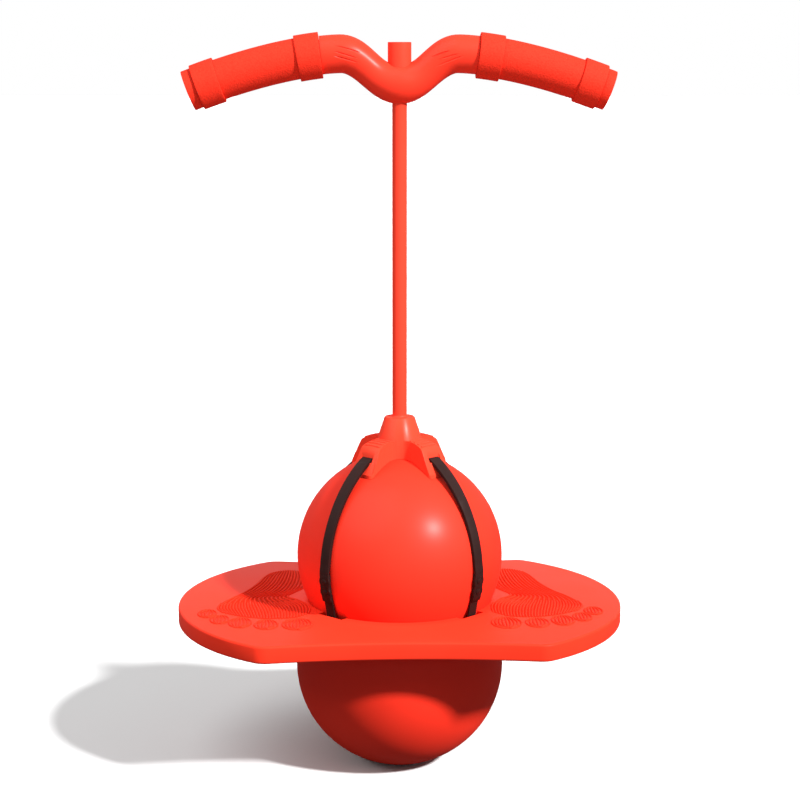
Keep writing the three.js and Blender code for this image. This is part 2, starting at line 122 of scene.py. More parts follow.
# %% [markdown]
# ## What finishes share
# No real finish is one flat colour. Each one here drifts between two colours, has bumps too fine to model, and
# ends in one surface shader, so each of these parts is a function.

# %% Helpers for textures and surfaces
def noise(tree, place, size, detail):
    """A soft random pattern with blobs of about this size."""
    sockets = {"Vector": place, "Scale": 1 / size, "Detail": detail}
    return add_node(tree, "TexNoise", sockets).outputs["Fac"]


def between(tree, share, first, second):
    """A colour between two hex values; the share is how much of the second."""
    sockets = {0: share, 6: linear(first), 7: linear(second)}
    return add_node(tree, "Mix", sockets, data_type="RGBA").outputs[2]


def bumps(tree, pattern, strength, depth):
    """A surface direction that a pattern of heights tilts."""
    sockets = {"Height": pattern, "Strength": strength, "Distance": depth}
    return add_node(tree, "Bump", sockets).outputs["Normal"]


def set_surface(tree, output, sockets):
    """Ends a graph in a principled shader with these sockets."""
    shader = add_node(tree, "BsdfPrincipled", sockets)
    tree.links.new(shader.outputs["BSDF"], output.inputs["Surface"])


print("helpers for finishes are ready")

# %% [markdown]
# ## Moulded orange plastics
# The ball is soft PVC, the deck, crown and bar are injection-moulded polypropylene, and the stem is elastic
# rubber. All are dyed right through with one orange-red pigment, so they share one graph. Moulding leaves a
# faint cloudiness in the pigment, uneven polish, and a fine skin that breaks up the highlight. A thin film of
# plasticiser gives a clear highlight and little sheen at the rim, which is what the coat layer does here. The
# foot patterns come from a spark-eroded part of the mould, so they are matt, with painted shade in their
# grooves.

# %% Make the moulded finishes
FILM_IOR = 2.6
# colour, deeper colour, roughness, gloss, film, roughness of the film, size and depth of the skin in mm
MOULDINGS = {
    "soft PVC, moulded and inflated": ("f8331e", "f42f1b", 0.7, 0.15, 0.037, 0.33, 2.2, 0.008),
    "polypropylene from a polished mould": ("fb3d28", "f63824", 0.6, 0.06, 0.037, 0.3, 1.4, 0.006),
    # the crown's finish, a lighter orange than the bar's
    "polypropylene, polished, lighter batch": ("fa442d", "f6402a", 0.6, 0.04, 0.037, 0.3, 1.4, 0.006),
    "polypropylene from a satin mould": ("f83a24", "f23520", 0.46, 0.057, 0.0, 0.3, 1.1, 0.012),
    "polypropylene from a spark-eroded mould": ("f83722", "f2331e", 0.6, 0.03, 0.0, 0.3, 0.9, 0.02),
    # a darker orange for the bottoms of the foot patterns' grooves: painted shade
    "polypropylene, grimy in its grooves": ("dc2e1b", "ca2814", 0.7, 0.01, 0.0, 0.3, 0.9, 0.02),
    "thermoplastic rubber, moulded": ("f9442f", "f4402b", 0.6, 0.04, 0.037, 0.38, 1.2, 0.010),
}


def moulded(name, colour, deeper, roughness, gloss, film, film_roughness, skin_mm, skin_depth_mm,
            cloud_mm=45, cloud_detail=3.0, polish_drift=0.04):
    """A dyed moulding: cloudy pigment, uneven polish, a gloss film and a fine skin."""
    finish, tree, output, place = new_finish(name)
    cloud = noise(tree, place, cloud_mm * MM, cloud_detail)
    polish = add_node(tree, "MapRange", {
        "Value": cloud, "To Min": roughness - polish_drift, "To Max": roughness + polish_drift})
    skin = bumps(tree, noise(tree, place, skin_mm * MM, 2.0), 1.0, skin_depth_mm * MM)
    set_surface(tree, output, {
        "Base Color": between(tree, cloud, deeper, colour), "Roughness": polish.outputs["Result"],
        "Normal": skin, "Specular IOR Level": gloss, "Coat Weight": film,
        "Coat Roughness": film_roughness, "Coat IOR": FILM_IOR, "Coat Normal": skin})
    return finish


finishes = [moulded(name, *row) for name, row in MOULDINGS.items()]
soft_vinyl, polished_plastic, lighter_plastic, satin_plastic = finishes[:4]
matt_plastic, groove_shade_plastic, elastic_rubber = finishes[4:]
print("moulded finishes", [finish.name for finish in finishes])

# %% [markdown]
# ## Foam
# The grips are closed-cell foam: thousands of skinned-over bubbles about a millimetre across make a dull,
# stippled surface. Cells come from a Voronoi texture, which also darkens the colour in the pits between them
# as painted shade. They are a little coarser than real, so that they show in a picture.

# %% Make the foam
FOAM_CELL = 1.3 * MM
FOAM_PIT = 0.25 * MM

grip_foam, tree, output, place = new_finish("EVA foam, closed-cell")
cells = add_node(tree, "TexVoronoi", {"Vector": place, "Scale": 1 / FOAM_CELL}).outputs["Distance"]
# the colour darkens towards the pits between cells, as painted shade
set_surface(tree, output, {
    "Base Color": between(tree, cells, "fb3925", "e22e1c"), "Roughness": 0.75,
    "Normal": bumps(tree, cells, 0.8, -FOAM_PIT), "Specular IOR Level": 0.08})
print("grips are", grip_foam.name)

# %% [markdown]
# ## Black rubber
# The straps are vulcanised rubber, wiped with release agent and dust, so their black drifts to brown and their
# satin sheen is uneven. The graph of the mouldings does that too, with a smaller and stronger cloud, a fine
# grain for its skin, and no film.

# %% Make the strap rubber
strap_rubber = moulded("black rubber, vulcanised", "2c1512", "1e0e0c", 0.59, 0.12, 0.0, 0.3, 0.8, 0.015,
                       cloud_mm=18, cloud_detail=4.0, polish_drift=0.09)
print("straps are", strap_rubber.name)

# %% [markdown]
# ## Drawing a line
# Most pieces here are turned or follow a line, so these helpers do what a hand would do in edit mode: put down
# a plane, merge it to one vertex, and extrude that from point to point. Everything is deselected first, because
# an operator acts on all that is selected, and loading leaves the solid model selected.

# %% Helpers for drawing
def start_line(name, points):
    """A new piece in edit mode: one line of edges through the points."""
    bpy.ops.object.select_all(action="DESELECT")
    bpy.ops.mesh.primitive_plane_add(size=MM)
    piece = bpy.context.object
    piece.name = name
    bpy.context.tool_settings.mesh_select_mode = (True, False, False)
    bpy.ops.object.mode_set(mode="EDIT")
    bpy.ops.mesh.select_all(action="SELECT")
    bpy.ops.mesh.merge(type="CENTER")
    bpy.ops.transform.translate(value=points[0])
    for here, there in zip(points, points[1:]):
        step = Vector(there) - Vector(here)
        bpy.ops.mesh.extrude_vertices_move(TRANSFORM_OT_translate={"value": step})
    bpy.ops.mesh.select_all(action="SELECT")
    return piece


def in_mm(points):
    """Points given in millimetres, in metres."""
    return [tuple(v * MM for v in point) for point in points]


def spaced(start, end, count):
    """Evenly spaced numbers from start to end, both included."""
    return [start + (end - start) * i / count for i in range(count + 1)]


def arc(centre_r, centre_z, radius, from_degrees, to_degrees, steps):
    """Points of a circular arc in the (radius, height) plane."""
    turns = [math.radians(degrees) for degrees in spaced(from_degrees, to_degrees, steps)]
    return [(centre_r + radius * math.cos(a), centre_z + radius * math.sin(a)) for a in turns]


print("half a circle ends at", arc(0, 0, 1, 0, 180, 8)[-1])

# %% [markdown]
# ## From a line to a solid
# A line is spun as on a lathe, filled and pulled up as through a die, or thickened to a tube like a hose.
# Doubled vertices are merged and faces turned outwards, because cutting needs a clean, closed mesh.

# %% Helpers for turning, raising and sweeping
MERGE_DISTANCE = 0.005 * MM


def close_up():
    """Merges doubled vertices and turns all faces outwards, then leaves edit mode."""
    bpy.ops.mesh.select_all(action="SELECT")
    bpy.ops.mesh.remove_doubles(threshold=MERGE_DISTANCE)
    bpy.ops.mesh.normals_make_consistent(inside=False)
    bpy.ops.object.mode_set(mode="OBJECT")


def turn(name, outline, steps=96):
    """A piece turned about the Z axis from an outline of (radius, height) points."""
    piece = start_line(name, [(max(r, 0), 0, z) for r, z in outline])
    bpy.ops.mesh.spin(steps=steps, angle=math.tau, center=(0, 0, 0), axis=(0, 0, 1))
    close_up()
    return piece


def raise_plan(name, plan, low, high):
    """A flat outline of (x, y) points, filled and extruded from one height to another."""
    piece = start_line(name, [(x, y, low) for x, y in plan])
    bpy.ops.mesh.edge_face_add()
    bpy.ops.mesh.extrude_region_move(TRANSFORM_OT_translate={"value": (0, 0, high - low)})
    close_up()
    return piece


def sweep(name, points, radius_at, half_sides, capped=True):
    """A tube along a line of points, whose radius depends on the point."""
    piece = start_line(name, points)
    bpy.ops.object.mode_set(mode="OBJECT")
    bpy.ops.object.convert(target="CURVE")
    piece.data.bevel_depth = 1
    piece.data.bevel_resolution = half_sides - 2
    piece.data.use_fill_caps = capped
    for point in piece.data.splines[0].points:
        point.radius = radius_at(point.co)
    bpy.ops.object.convert(target="MESH")
    bpy.ops.object.mode_set(mode="EDIT")
    close_up()
    return piece


print("vertices merge within", MERGE_DISTANCE / MM, "mm")

# %% [markdown]
# ## Placing and cutting
# A mould leaves holes and pockets, and a boolean modifier with a tool of that shape cuts them. It is applied
# at once, so that the next step sees the result. A piece's place is written into its mesh, and its object
# stays at the origin, as the solids do.

# %% Helpers for placing and cutting
def make_active(piece):
    """Leaves only this piece selected, and active."""
    bpy.ops.object.select_all(action="DESELECT")
    piece.select_set(True)
    bpy.context.view_layer.objects.active = piece


def set_down(piece, place=(0, 0, 0), turned=(0, 0, 0)):
    """Turns and moves a piece, and writes that into its mesh."""
    make_active(piece)
    piece.rotation_euler = turned
    piece.location = place
    bpy.ops.object.transform_apply(location=True, rotation=True, scale=True)


def block(size, place, azimuth=0):
    """A box of a size at a place, turned about the Z axis to an azimuth."""
    bpy.ops.object.select_all(action="DESELECT")
    bpy.ops.mesh.primitive_cube_add(size=1)
    box = bpy.context.object
    box.scale = size
    set_down(box, place)
    set_down(box, turned=(0, 0, math.radians(azimuth)))
    return box


def apply_modifier(piece, kind, **settings):
    """Adds a modifier with its settings and applies it."""
    make_active(piece)
    bpy.ops.object.modifier_add(type=kind)
    modifier = piece.modifiers[-1]
    for field, value in settings.items():
        setattr(modifier, field, value)
    bpy.ops.object.modifier_apply(modifier=modifier.name)


def combine(piece, tool, operation):
    """Joins a tool to a piece, cuts it away or keeps what they share, and removes the tool."""
    apply_modifier(piece, "BOOLEAN", operation=operation, object=tool, solver="EXACT")
    bpy.data.objects.remove(tool)


def put_together(name, pieces):
    """Joins loose pieces into one object."""
    make_active(pieces[0])
    for piece in pieces:
        piece.select_set(True)
    bpy.ops.object.join()
    pieces[0].name = name
    return pieces[0]


def copy_of(piece, name):
    """A copy with a mesh of its own."""
    make_active(piece)
    bpy.ops.object.duplicate(linked=False)
    bpy.context.object.name = name
    return bpy.context.object


def size_of(piece):
    """A piece's width, depth and height in millimetres."""
    return [round(v / MM, 1) for v in piece.dimensions]


print("helpers for cutting are ready")

# %% [markdown]
# ## Softening and dressing
# No moulded edge is knife-sharp, so a bevel rounds the edges that are sharper than an angle. A finished piece
# is shaded smooth, gets its finish, and hides the solids that it stands for.

# %% Helpers for softening and dressing
def soften(piece, width, angle, segments):
    """Rounds the edges that are sharper than an angle."""
    apply_modifier(piece, "BEVEL", width=width, segments=segments, limit_method="ANGLE",
                   angle_limit=math.radians(angle))


def dress(piece, finish, slot, *nodes, smooth=40):
    """Sets a piece's shading and finish, and hides the solids that it stands for. The slot is not used."""
    make_active(piece)
    bpy.ops.object.shade_smooth_by_angle(angle=math.radians(smooth))
    piece.data.materials.clear()
    piece.data.materials.append(finish)
    if nodes:
        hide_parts(*nodes)
    print(piece.name, len(piece.data.polygons), "faces,", finish.name)


print("helpers for dressing are ready")

# %% [markdown]
# ## Ball
# The real ball is one PVC bladder that the deck's hole pinches into two lobes, with a rounded waist between
# them and a small flat where it stands. Two spheres joined by a fillet give that outline exactly, so the
# outline is drawn once and spun. The same outline, a little larger, later cuts the hole in the deck.

# %% Turn the ball
LOWER_LOBE = 91.4 * MM
UPPER_LOBE = 90.1 * MM
LOBE_SPACING = 98.1 * MM
WAIST_FILLET = 10 * MM
FIT_GAP = 0.3 * MM
BALL_STEPS = 128

ball_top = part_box("ball")[1].z
upper_centre = ball_top - UPPER_LOBE
lower_centre = upper_centre - LOBE_SPACING
lower_reach = LOWER_LOBE + WAIST_FILLET
upper_reach = UPPER_LOBE + WAIST_FILLET
waist_rise = (LOBE_SPACING ** 2 + lower_reach ** 2 - upper_reach ** 2) / (2 * LOBE_SPACING)
waist_z = lower_centre + waist_rise
waist_r = math.sqrt(lower_reach ** 2 - waist_rise ** 2)


def ball_outline(offset=0.0):
    """The ball's outline from the floor to its pole, moved outwards by an offset."""
    lower_tangent = math.degrees(math.atan2(waist_z - lower_centre, waist_r))
    upper_tangent = math.degrees(math.atan2(waist_z - upper_centre, waist_r))
    lower = LOWER_LOBE + offset
    floor_angle = -math.degrees(math.asin((lower_centre + offset) / lower))
    return [
        (0, -offset),
        *arc(0, lower_centre, lower, floor_angle, lower_tangent, 36),
        *arc(waist_r, waist_z, WAIST_FILLET - offset, 180 + lower_tangent, 180 + upper_tangent, 10)[1:],
        *arc(0, upper_centre, UPPER_LOBE + offset, upper_tangent, 90, 40)[1:],
    ]


ball = turn("ball_skin", ball_outline(), BALL_STEPS)
dress(ball, soft_vinyl, "ball_vinyl", "ball")
deck_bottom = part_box("deck")[0].z
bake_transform(ball)

# %% [markdown]
# ## Valve
# A ball that is pumped up needs a valve. It sits in the back of the upper lobe: a low flange welded to the
# skin, and a stopper with a small head. Both are turned upright at the origin and then laid into the lobe.

# %% Turn the valve and its stopper
VALVE_RISE = math.radians(15)
FLANGE_MM = [(0, -6), (6.5, -6), (6.5, -0.4), (10, -0.5), *arc(8.8, 0.7, 1.2, 0, 90, 5), (7, 1.9), (6, 1.5),
             (0, 1.5)]
STOPPER_MM = [(0, -8), (2.4, -8), (3, -7), (3, 2.2), (5.2, 2.2), *arc(4.4, 3, 0.8, 0, 90, 4), (3, 3.8),
              (2.4, 3.3), (0, 3.3)]

valve_turn = (VALVE_RISE - QUARTER_TURN, 0, 0)
valve_place = (0, UPPER_LOBE * math.cos(VALVE_RISE), upper_centre + UPPER_LOBE * math.sin(VALVE_RISE))
valve = turn("valve_flange", in_mm(FLANGE_MM), steps=48)
set_down(valve, valve_place, valve_turn)
dress(valve, soft_vinyl, "ball_vinyl", "ball_valve")
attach(valve, "deck")
stopper = turn("valve_stopper", in_mm(STOPPER_MM), steps=40)
set_down(stopper, valve_place, valve_turn)
dress(stopper, elastic_rubber, "stem_rubber", "valve_plug")
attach(stopper, "valve_plug")

# %% [markdown]
# ## Deck
# The deck is one ribbed polypropylene moulding with hollow front and back edges and bowed sides. A quarter of
# its outline is a parabola, a rounded corner and an arc, and the rest is its mirror image.

# %% Draw the deck's outline
DECK_CORNER = (118 * MM, 140.7 * MM)
DECK_HOLLOW = 9.5 * MM
DECK_CORNER_ROUND = 7 * MM

deck_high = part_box("deck")[1]
deck_half_width = deck_high.x


def deck_quarter():
    """The outline from the middle of the back edge to the tip of the right side."""
    corner_x, corner_y = DECK_CORNER
    centre_x = (deck_half_width ** 2 - corner_x ** 2 - corner_y ** 2) / (2 * (deck_half_width - corner_x))
    radius = deck_half_width - centre_x
    along = spaced(0, corner_x - DECK_CORNER_ROUND, 12)
    edge = [(x, corner_y - DECK_HOLLOW * (1 - (x / corner_x) ** 2)) for x in along]
    side_angle = math.degrees(math.asin(corner_y / radius) - DECK_CORNER_ROUND / radius)
    side = arc(centre_x, 0, radius, side_angle, 0, 30)
    ends = (edge[-1], DECK_CORNER, side[0])
    bend = []
    for t in spaced(0, 1, 8)[1:-1]:
        weights = ((1 - t) ** 2, 2 * t * (1 - t), t ** 2)
        bend.append(tuple(sum(w * end[k] for w, end in zip(weights, ends)) for k in (0, 1)))
    return [*edge, *bend, *side]


def deck_outline():
    """The whole outline, mirrored from its quarter."""
    quarter = deck_quarter()
    right = [*quarter, *[(x, -y) for x, y in quarter[-2::-1]]]
    return [*right, *[(-x, y) for x, y in right[-2:0:-1]]]


print("the deck's outline has", len(deck_outline()), "points")

# %% [markdown]
# ### Board
# The outline is filled and extruded to a board. A mould rounds its rims, so the flat faces are selected by
# their direction, only the loops round them stay selected, and a bevel rounds these.

# %% Raise the deck's board
DECK_EDGE_ROUND = 2 * MM
RIM_RISE = 2.5 * MM
FLAT = 0.9

rim_top = deck_high.z
deck_top = rim_top - RIM_RISE


def select_faces(piece, wanted):
    """Selects the faces that pass a test, in edit mode."""
    make_active(piece)
    bpy.context.tool_settings.mesh_select_mode = (False, False, True)
    bpy.ops.object.mode_set(mode="EDIT")
    bpy.ops.mesh.select_all(action="DESELECT")
    bpy.ops.object.mode_set(mode="OBJECT")
    for face in piece.data.polygons:
        face.select = wanted(face)
    bpy.ops.object.mode_set(mode="EDIT")


deck = raise_plan("foot_deck", deck_outline(), deck_bottom, deck_top)
select_faces(deck, lambda face: abs(face.normal.z) > FLAT)
bpy.ops.mesh.region_to_loop()
bpy.ops.mesh.bevel(offset=DECK_EDGE_ROUND, segments=4)
bpy.ops.object.mode_set(mode="OBJECT")
print("board", size_of(deck))

# %% [markdown]
# ### Ribs
# A solid board would be heavy and sink in as it cools, so its underside is hollow between ribs. Array
# modifiers repeat one pocket over the board. The skirt and the ring round the hole are taken off the pockets,
# and the rest is cut from the board.

# %% Hollow the deck's underside
DECK_SKIN = 4 * MM
DECK_SKIRT = 4 * MM
RIB = 3 * MM
RIB_PITCH = 60 * MM
CELLS_ACROSS, CELLS_DEEP = 8, 6
NOTCH_REACH = 86.6 * MM
RING_REACH = NOTCH_REACH + 13 * MM
OVERCUT = 1 * MM

pocket_high = deck_top - DECK_SKIN
pocket_low = deck_bottom - 2 * OVERCUT
pocket = (RIB_PITCH - RIB, RIB_PITCH - RIB, pocket_high - pocket_low)
first_x, first_y = (RIB_PITCH * (1 - cells) / 2 for cells in (CELLS_ACROSS, CELLS_DEEP))
pockets = block(pocket, (first_x, first_y, (pocket_high + pocket_low) / 2))
for count, offset in ((CELLS_ACROSS, (RIB_PITCH, 0, 0)), (CELLS_DEEP, (0, RIB_PITCH, 0))):
    apply_modifier(pockets, "ARRAY", count=count, use_relative_offset=False, use_constant_offset=True,
                   constant_offset_displace=offset)

ring_low = pocket_low - OVERCUT
inside = raise_plan("inside", deck_outline(), ring_low, pocket_high + OVERCUT)
select_faces(inside, lambda face: abs(face.normal.z) < FLAT)
bpy.ops.transform.shrink_fatten(value=-DECK_SKIRT, use_even_offset=True)
bpy.ops.object.mode_set(mode="OBJECT")
combine(pockets, inside, "INTERSECT")
ring = turn("ring", [(0, ring_low), (RING_REACH, ring_low), (RING_REACH, deck_top), (0, deck_top)])
combine(pockets, ring, "DIFFERENCE")
print("pockets", len(pockets.data.polygons), "faces, inside", size_of(pockets))
combine(deck, pockets, "DIFFERENCE")

# %% [markdown]
# ### Rim, hole and notches
# A low rim rises to the hole that grips the ball's waist, and four notches let the straps' tails through. The
# rim is turned and joined on, the ball's own outline cuts the hole, and each long block cuts two notches.

# %% Raise the rim, and cut the hole and the strap notches
RIM_LAND = NOTCH_REACH + 3 * MM
RIM_FOOT = RIM_LAND + 16 * MM
RIM_ROOT = 2 * MM
RIM_FOOT_SINK = 0.01 * MM
RIM_EDGE_WIDTH, RIM_EDGE_DROP = 2 * MM, 0.3 * MM
NOTCH_SIZE = (2 * NOTCH_REACH, 28 * MM, 40 * MM)
NOTCH_MIDDLE = 7.5 * MM
DIAGONALS = {"back_right": 45, "back_left": 135, "front_left": 225, "front_right": 315}

rim_low = deck_top - RIM_ROOT
rim = turn("rim", [(0, rim_low), (RIM_FOOT, rim_low), (RIM_FOOT, deck_top - RIM_FOOT_SINK),
                   (RIM_LAND + RIM_EDGE_WIDTH, rim_top - RIM_EDGE_DROP), (RIM_LAND, rim_top), (0, rim_top)],
           BALL_STEPS)
combine(deck, rim, "UNION")
combine(deck, turn("hole", ball_outline(FIT_GAP), BALL_STEPS), "DIFFERENCE")
for side in ("back_right", "back_left"):
    notch = block(NOTCH_SIZE, (0, 0, deck_bottom + NOTCH_MIDDLE), DIAGONALS[side])
    combine(deck, notch, "DIFFERENCE")
dress(deck, satin_plastic, "orange_plastic", "deck", smooth=30)
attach(deck, "deck")

# %% [markdown]
# ## Foot patterns
# Where the bare feet stand, fine ridges are moulded into the deck in the plain form of a footprint. On the
# sole they run from heel to toes, closer where the sole is narrow. So both sides of the sole are smooth
# curves, and each ridge is a line that keeps its share of the way from the inner to the outer one. Every
# other line starts only where the sole widens.

# %% Lay out the ridges of the sole
SOLE_OUTER_MM = [(-118, 92), (-124, 79), (-130, 53.5), (-139.5, 28), (-150.5, 8), (-157.5, -9), (-159.5, -23),
                 (-157, -32), (-153, -39)]
SOLE_INNER_MM = [(-87, 96), (-83.5, 80), (-83.5, 55), (-86.5, 31), (-99.5, 11), (-90, -7), (-81.5, -23),
                 (-79, -37), (-79.5, -49)]
SOLE_LINES = 30
SOLE_STEPS = 32
LATE_START = 20
HEEL_ROUND_MM, HEEL_SHARE = 9, 0.3
TREAD_ROUND_MM, TREAD_SHARE = 14, 0.35


def along_line(points, t):
    """A point on a smooth curve through the points, at a share of the way along it."""
    at = t * (len(points) - 1)
    i = min(int(at), len(points) - 2)
    u = at - i
    before, here, there, after = (points[min(max(k, 0), len(points) - 1)] for k in range(i - 1, i + 3))
    return tuple(0.5 * (2 * b + (c - a) * u + (2 * a - 5 * b + 4 * c - d) * u ** 2
                        + (3 * b - a - 3 * c + d) * u ** 3) for a, b, c, d in zip(before, here, there, after))


def sole_point(share, t):
    """A place on the sole: its shares from inner to outer side, and from heel to ball of the foot."""
    x, y = (a + (b - a) * share for a, b in zip(along_line(SOLE_INNER_MM, t), along_line(SOLE_OUTER_MM, t)))
    heel = HEEL_ROUND_MM * max(1 - t / HEEL_SHARE, 0) ** 2
    tread = TREAD_ROUND_MM * max(1 - (1 - t) / TREAD_SHARE, 0) ** 2
    return (x, y + 4 * share * (1 - share) * (heel - tread))


def sole_outline():
    """The outline of the sole: out along its inner side, back along its outer side."""
    steps = spaced(0, 1, SOLE_STEPS)[:-1]
    return [*[sole_point(0, t) for t in steps], *[sole_point(t, 1) for t in steps],
            *[sole_point(1, 1 - t) for t in steps], *[sole_point(1 - t, 0) for t in steps]]


sole_lines = []
for k, share in enumerate(spaced(0, 1, SOLE_LINES - 1)):
    sole_lines.append([sole_point(share, t) for t in spaced(0, 1, SOLE_STEPS)[LATE_START * (k % 2):]])
print("the sole has", len(sole_lines), "ridges")

# %% [markdown]
# ### Toes
# A toe is an oval that is filled in the same way: its ridges follow the oval's meridians and stop just short
# of its tips, where they would run together.

# %% Lay out the ridges of the toes
TOES_MM = [((-89.0, -75.5), 12.5, 16.6), ((-115.3, -75.9), 9.8, 13.8), ((-137.6, -69.3), 9.4, 14.8),
           ((-155.4, -59.6), 7.8, 12.4), ((-167.3, -41.0), 7.8, 11.6)]
TOE_PITCH_MM = 2.8
TOE_TIP_SHARE = 0.06


def toe_lines(centre, half_width, half_length):
    """Lines that follow the meridians of an oval."""
    gaps = round(2 * half_width / TOE_PITCH_MM) - 1
    turns = [math.pi * share for share in spaced(TOE_TIP_SHARE, 1 - TOE_TIP_SHARE, 10)]
    return [[(centre[0] + reach * math.sin(a), centre[1] + half_length * math.cos(a)) for a in turns]
            for reach in spaced(-half_width, half_width, gaps)]


all_toe_lines = [line for toe in TOES_MM for line in toe_lines(*toe)]
print("the toes have", len(all_toe_lines), "ridges")

# %% [markdown]
# ### Ridges and ground
# Each line becomes a tube that is sunk into the deck until a low round ridge is left, and that climbs the
# deck's rim. The matt ground between the sole's ridges is a thin slice of the deck itself, kept inside the
# outline of the sole and lifted by a hair. Faces near the ground get a darker finish, as painted shade in the
# grooves. The second foot is a mirrored copy.

# %% Raise the ridges on their matt ground
RIDGE_RADIUS = 0.85 * MM
SOLE_RIDGE_RISE = 0.85 * MM
TOE_RIDGE_RISE = 0.95 * MM
GROUND_DEPTH = 1 * MM
GROUND_LIFT = 0.12 * MM


def deck_surface(x, y):
    """Height of the deck's top at a place: flat, then up the slope to the rim of the hole."""
    share = min(max((RIM_FOOT - math.hypot(x, y)) / (RIM_FOOT - RIM_LAND), 0), 1)
    return deck_top + (rim_top - deck_top) * share


ground = copy_of(deck, "ground")
sole = raise_plan("sole", in_mm(sole_outline()), deck_top - GROUND_DEPTH, rim_top + GROUND_DEPTH)
combine(ground, sole, "INTERSECT")
set_down(ground, (0, 0, GROUND_LIFT))
foot_pieces = [ground]
for lines, rise in ((sole_lines, SOLE_RIDGE_RISE), (all_toe_lines, TOE_RIDGE_RISE)):
    for line in lines:
        points = [(x, y, deck_surface(x, y) + rise - RIDGE_RADIUS) for x, y in in_mm(line)]
        foot_pieces.append(sweep("ridge", points, lambda co: RIDGE_RADIUS, half_sides=8))
left_foot = put_together("left_foot_ridges", foot_pieces)
right_foot = copy_of(left_foot, "right_foot_ridges")
right_foot.scale.x = -1
set_down(right_foot)
bpy.ops.object.mode_set(mode="EDIT")
close_up()
for foot in (left_foot, right_foot):
    dress(foot, matt_plastic, "orange_plastic", smooth=60)
    foot.data.materials.append(groove_shade_plastic)
    # faces low by the ground take the darker finish, which paints shade into the grooves and at the foot of the
    # ridges
    for face in foot.data.polygons:
        face.material_index = int(face.center.z < deck_surface(face.center.x, face.center.y) + 2 * GROUND_LIFT)
    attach(foot, "deck")

# %% [markdown]
# ## Crown
# The crown is a moulded cap with four legs that lie on the ball. Its top is a bell: a cone for the stem, flat
# shoulders, and legs that slope down to feet. It is easiest to turn the whole bell and keep only what lies
# inside a cross, and then to cut the seat for the ball and the forks that the straps come out of.

# %% Shape the crown
LEG_ROOT_HALF_WIDTH = 9 * MM
LEG_TIP_HALF_WIDTH = 12.3 * MM
LEG_REACH = 48.5 * MM
LEG_FILLET = 13.5 * MM
LEG_TIP_ROUND = 3 * MM
LEG_FOOT = 3 * MM
CROWN_SPARE = 2 * MM
CROWN_ROUND = 1.7 * MM
SHOULDER_MM = [(38.3, 8.5), (36.8, 10.2), (34.5, 11.5), (29, 13.4), (19.2, 14.6)]
CONE_TOP_MM = [(13.3, -0.8), (12.5, 0)]

hub_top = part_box("crown")[1].z
foot_z = upper_centre + math.sqrt(UPPER_LOBE ** 2 - LEG_REACH ** 2) + LEG_FOOT
bell = [(LEG_REACH, foot_z), *[(r, ball_top + z) for r, z in in_mm(SHOULDER_MM)],
        *[(r, hub_top + z) for r, z in in_mm(CONE_TOP_MM)]]


def spun(x, y, azimuth):
    """A point (x, y) turned about the Z axis by degrees."""
    c, s = math.cos(math.radians(azimuth)), math.sin(math.radians(azimuth))
    return (c * x - s * y, s * x + c * y)


def cross_plan():
    """A cross on the diagonals: round inner corners, widening legs and rounded tips."""
    inner = LEG_ROOT_HALF_WIDTH + LEG_FILLET
    tip_x = LEG_REACH - LEG_TIP_ROUND
    tip_y = LEG_TIP_HALF_WIDTH - LEG_TIP_ROUND
    leg = [*arc(tip_x, -tip_y, LEG_TIP_ROUND, -90, 0, 4), *arc(tip_x, tip_y, LEG_TIP_ROUND, 0, 90, 4),
           *arc(inner, inner, LEG_FILLET, 270, 180, 20)]
    return [spun(x, y, azimuth) for azimuth in DIAGONALS.values() for x, y in leg]


crown_reach = LEG_REACH + CROWN_SPARE
crown = turn("crown_cap", [(0, upper_centre), (crown_reach, upper_centre), (crown_reach, foot_z), *bell,
                           (0, hub_top)])
combine(crown, raise_plan("cross", cross_plan(), upper_centre - OVERCUT, hub_top + OVERCUT), "INTERSECT")
combine(crown, turn("seat", ball_outline(FIT_GAP)), "DIFFERENCE")
soften(crown, CROWN_ROUND, angle=28, segments=4)
print("crown", size_of(crown))

# %% [markdown]
# ### Forks
# The end of each leg is forked, so that a strap can come out of it and bend down onto the ball. A block cuts
# each fork after the edges are rounded, because the edges of a fork stay crisp.

# %% Cut the forks for the straps
STRAP_WIDTH = 9.8 * MM
STRAP_THICKNESS = 2.7 * MM
SLOT_RISE = 1.2 * MM
FORK_START = 39.6 * MM
FORK_LENGTH = 20 * MM
FORK_WIDTH = 14.6 * MM
FORK_RISE = 6 * MM

slot_middle = ball_top + SLOT_RISE
fork_top = ball_top + FORK_RISE
fork_bottom = slot_middle - STRAP_THICKNESS
fork_middle = (FORK_START + FORK_LENGTH / 2, 0, (fork_top + fork_bottom) / 2)
for azimuth in DIAGONALS.values():
    fork = block((FORK_LENGTH, FORK_WIDTH, fork_top - fork_bottom), fork_middle, azimuth)
    combine(crown, fork, "DIFFERENCE")
print("the crown has", len(crown.data.polygons), "faces")

# %% [markdown]
# ### Shoulder ridges
# Fine ridges run across each shoulder of the crown. They follow its slope, so each is a thin tube, half sunk,
# whose points take their height from the bell's outline.

# %% Add the fine ridges on the crown's shoulders
SHOULDER_RIDGES = [20.8 * MM, 25.2 * MM, 29.6 * MM, 33.8 * MM]
SHOULDER_RIDGE_HALF = 8.4 * MM
SHOULDER_RIDGE_RADIUS = 0.9 * MM


def bell_height(radius):
    """Height of the bell's surface at a distance from the axis."""
    for (r0, z0), (r1, z1) in zip(bell, bell[1:]):
        if r1 <= radius <= r0:
            return z1 + (z0 - z1) * (radius - r1) / (r0 - r1)
    return hub_top


